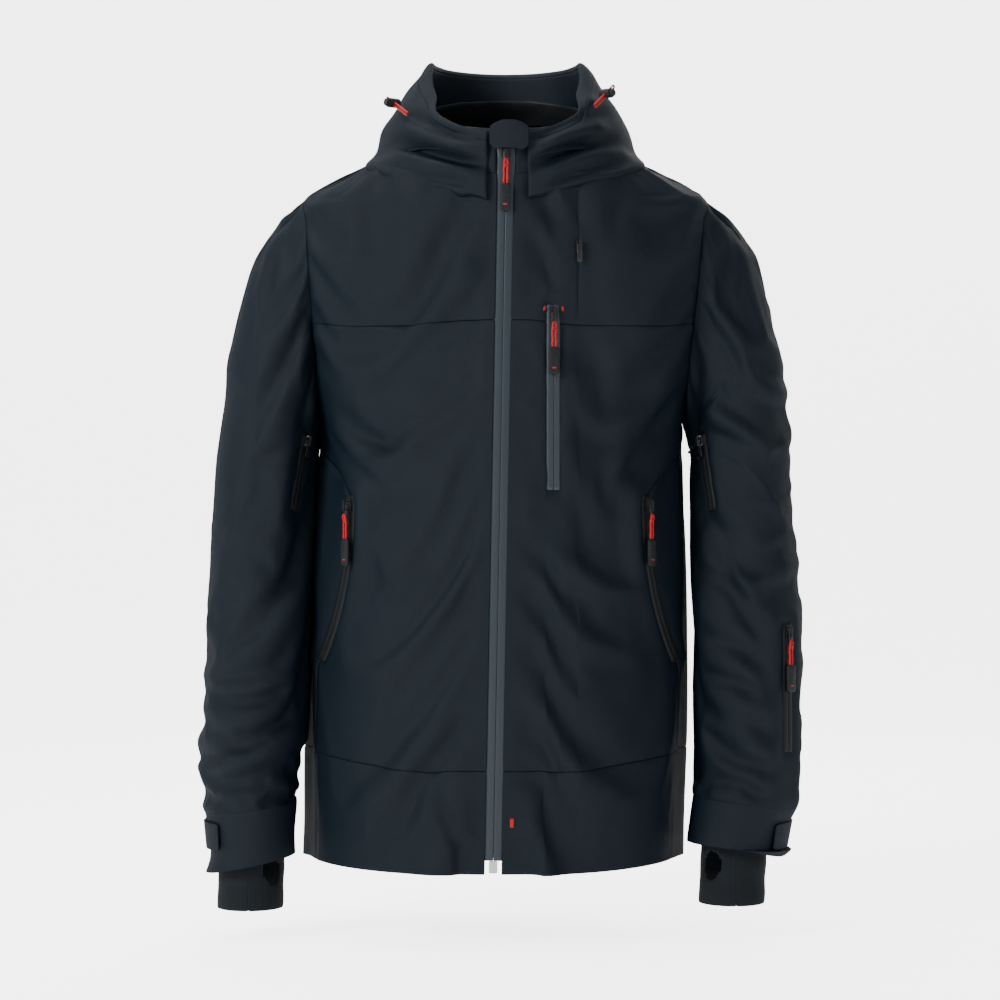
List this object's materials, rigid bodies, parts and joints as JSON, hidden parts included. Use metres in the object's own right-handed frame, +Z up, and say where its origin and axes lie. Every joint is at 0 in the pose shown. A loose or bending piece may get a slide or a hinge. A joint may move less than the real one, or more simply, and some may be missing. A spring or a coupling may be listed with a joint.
{
  "type": "ski jacket",
  "caption": "Hooded shell ski jacket in its worn shape, with sealed zips, corded pulls, a stand-up collar, stretch inner cuffs and adjustable cuff tabs.",
  "frame": {"origin": "the middle of the bottom of the whole jacket's box", "axes": "+Z up, +X toward the wearer's left, -Y toward the front"},
  "size_m": [0.632, 0.3165, 0.885],
  "materials": {
    "shell_fabric": "dark navy two-layer woven polyester with a matt water-repellent face",
    "lining_fabric": "smooth black taffeta",
    "trim_fabric": "dense woven binding",
    "stretch_knit": "charcoal ribbed stretch knit",
    "zip_tape": "grey laminated water-repellent zip tape",
    "zip_metal": "black painted zinc",
    "zip_silver": "plain nickel",
    "zip_pull": "red cord with a moulded black grip",
    "elastic_cord": "red braided elastic",
    "lock_plastic": "black moulded nylon"
  },
  "bodies": {
    "root": {"back_panel": "shell_fabric", "back_yoke": "shell_fabric", "body_lining": "lining_fabric", "chest_pocket_bag": "lining_fabric", "chest_zip": "zip_tape", "chin_guard": "shell_fabric", "collar": "shell_fabric", "collar_lining": "lining_fabric", "front_panel_left": "shell_fabric", "front_panel_right": "shell_fabric", "front_yoke_left": "shell_fabric", "front_yoke_right": "shell_fabric", "hand_pocket_bag_left": "lining_fabric", "hand_pocket_bag_right": "lining_fabric", "hand_zip_left": "zip_tape", "hand_zip_right": "zip_tape", "hanger_loop": "trim_fabric", "hem_panel_left": "shell_fabric", "hem_panel_right": "shell_fabric", "hood": "shell_fabric", "hood_brim": "shell_fabric", "hood_cords": "elastic_cord", "hood_lock_bodies": "lock_plastic", "main_zip_box": "zip_silver", "main_zip_left": "zip_tape", "main_zip_right": "zip_tape", "pit_left_zip": "zip_tape", "pit_right_zip": "zip_tape", "powder_skirt": "lining_fabric", "side_panel_left": "shell_fabric", "side_panel_right": "shell_fabric", "storm_flap": "shell_fabric", "upper_sleeve_left": "shell_fabric", "upper_sleeve_right": "shell_fabric", "vent_zip": "zip_tape"},
    "forearm_right": {"forearm_right": "shell_fabric", "inner_cuff_right": "stretch_knit"},
    "forearm_left": {"forearm_left": "shell_fabric", "inner_cuff_left": "stretch_knit", "sleeve_zip": "zip_tape"},
    "main_slider": {"main_slider": "zip_metal"},
    "main_pull": {"main_pull": "zip_pull"},
    "chest_slider": {"chest_slider": "zip_metal"},
    "chest_pull": {"chest_pull": "zip_pull"},
    "vent_slider": {"vent_slider": "zip_metal"},
    "vent_pull": {"vent_pull": "zip_metal"},
    "sleeve_slider": {"sleeve_slider": "zip_metal"},
    "sleeve_pull": {"sleeve_pull": "zip_pull"},
    "pit_right_slider": {"pit_right_slider": "zip_silver"},
    "pit_right_pull": {"pit_right_pull": "zip_metal"},
    "pit_left_slider": {"pit_left_slider": "zip_silver"},
    "pit_left_pull": {"pit_left_pull": "zip_metal"},
    "hand_slider_right": {"hand_slider_right": "zip_metal"},
    "hand_right_pull": {"hand_right_pull": "zip_pull"},
    "hand_slider_left": {"hand_slider_left": "zip_metal"},
    "hand_left_pull": {"hand_left_pull": "zip_pull"},
    "hood_lock_button_right": {"hood_lock_button_right": "lock_plastic"},
    "hood_lock_button_left": {"hood_lock_button_left": "lock_plastic"},
    "cuff_tab_right": {"cuff_tab_right": "trim_fabric"},
    "cuff_tab_left": {"cuff_tab_left": "trim_fabric"}
  },
  "joints": [
    {"name": "elbow_right", "type": "hinge", "parent": "root", "child": "forearm_right", "pos_m": [-0.258, -0.01771, 0.377], "axis": [-1, 0, 0], "range_deg": [0, 50]},
    {"name": "elbow_left", "type": "hinge", "parent": "root", "child": "forearm_left", "pos_m": [0.262, -0.01771, 0.377], "axis": [-1, 0, 0], "range_deg": [0, 50]},
    {"name": "main_slider_travel", "type": "slide", "parent": "root", "child": "main_slider", "axis": [-0.0181, -0.0384, -0.9991], "range_m": [0, 0.70066]},
    {"name": "main_pull_swing", "type": "hinge", "parent": "main_slider", "child": "main_pull", "pos_m": [0.00222, -0.13315, 0.77513], "axis": [-0.9998, 0.0007, 0.0181], "range_deg": [0, 80]},
    {"name": "chest_slider_travel", "type": "slide", "parent": "root", "child": "chest_slider", "axis": [0, -0.025, -0.9997], "range_m": [0, 0.16806]},
    {"name": "chest_pull_swing", "type": "hinge", "parent": "chest_slider", "child": "chest_pull", "pos_m": [0.05056, -0.13622, 0.61009], "axis": [-0.9863, -0.1651, 0.0041], "range_deg": [0, 165]},
    {"name": "vent_slider_travel", "type": "slide", "parent": "root", "child": "vent_slider", "axis": [0, -0.019, -0.9998], "range_m": [0, 0.05401]},
    {"name": "vent_pull_swing", "type": "hinge", "parent": "vent_slider", "child": "vent_pull", "pos_m": [0.0766, -0.13073, 0.67956], "axis": [-0.9845, -0.1756, 0.0033], "range_deg": [0, 165]},
    {"name": "sleeve_slider_travel", "type": "slide", "parent": "forearm_left", "child": "sleeve_slider", "axis": [0, -0.0442, -0.999], "range_m": [0, 0.11313]},
    {"name": "sleeve_pull_swing", "type": "hinge", "parent": "sleeve_slider", "child": "sleeve_pull", "pos_m": [0.29498, -0.07931, 0.28617], "axis": [-0.7508, -0.6599, 0.0292], "range_deg": [0, 165]},
    {"name": "pit_right_slider_travel", "type": "slide", "parent": "root", "child": "pit_right_slider", "axis": [-0.1569, -0.154, -0.9755], "range_m": [0, 0.06591]},
    {"name": "pit_right_pull_swing", "type": "hinge", "parent": "pit_right_slider", "child": "pit_right_pull", "pos_m": [-0.20213, -0.05019, 0.48341], "axis": [-0.458, -0.8638, 0.21], "range_deg": [0, 165]},
    {"name": "pit_left_slider_travel", "type": "slide", "parent": "root", "child": "pit_left_slider", "axis": [0.1321, -0.1546, -0.9791], "range_m": [0, 0.06562]},
    {"name": "pit_left_pull_swing", "type": "hinge", "parent": "pit_left_slider", "child": "pit_left_pull", "pos_m": [0.20202, -0.05024, 0.48348], "axis": [-0.4776, 0.8556, -0.1995], "range_deg": [0, 165]},
    {"name": "hand_right_slider_travel", "type": "hinge", "parent": "root", "child": "hand_slider_right", "pos_m": [-0.33778, 0.11125, 0.416], "axis": [0.7555, 0.6551, 0], "range_deg": [0, 24]},
    {"name": "hand_right_pull_swing", "type": "hinge", "parent": "hand_slider_right", "child": "hand_right_pull", "pos_m": [-0.16231, -0.10058, 0.416], "axis": [-0.6551, 0.7555, 0], "range_deg": [0, 165]},
    {"name": "hand_left_slider_travel", "type": "hinge", "parent": "root", "child": "hand_slider_left", "pos_m": [0.32632, 0.11125, 0.416], "axis": [0.7555, -0.6551, 0], "range_deg": [0, 24]},
    {"name": "hand_left_pull_swing", "type": "hinge", "parent": "hand_slider_left", "child": "hand_left_pull", "pos_m": [0.15085, -0.10058, 0.416], "axis": [-0.6551, -0.7555, 0], "range_deg": [0, 165]},
    {"name": "hood_lock_press_right", "type": "slide", "parent": "root", "child": "hood_lock_button_right", "axis": [0.8307, 0.5553, -0.0394], "range_m": [0, 0.0028], "stiffness_N_per_m": 600, "springref_m": -0.002},
    {"name": "hood_lock_press_left", "type": "slide", "parent": "root", "child": "hood_lock_button_left", "axis": [-0.7193, 0.6944, 0.0216], "range_m": [0, 0.0028], "stiffness_N_per_m": 600, "springref_m": -0.002},
    {"name": "cuff_tab_right_peel", "type": "hinge", "parent": "forearm_right", "child": "cuff_tab_right", "pos_m": [-0.30476, -0.02171, 0.07593], "axis": [0.1451, 0, -0.9894], "range_deg": [0, 90], "stiffness_Nm_per_rad": 0.02},
    {"name": "cuff_tab_left_peel", "type": "hinge", "parent": "forearm_left", "child": "cuff_tab_left", "pos_m": [0.29109, -0.02171, 0.07589], "axis": [0.2463, 0, 0.9692], "range_deg": [0, 90], "stiffness_Nm_per_rad": 0.02}
  ]
}
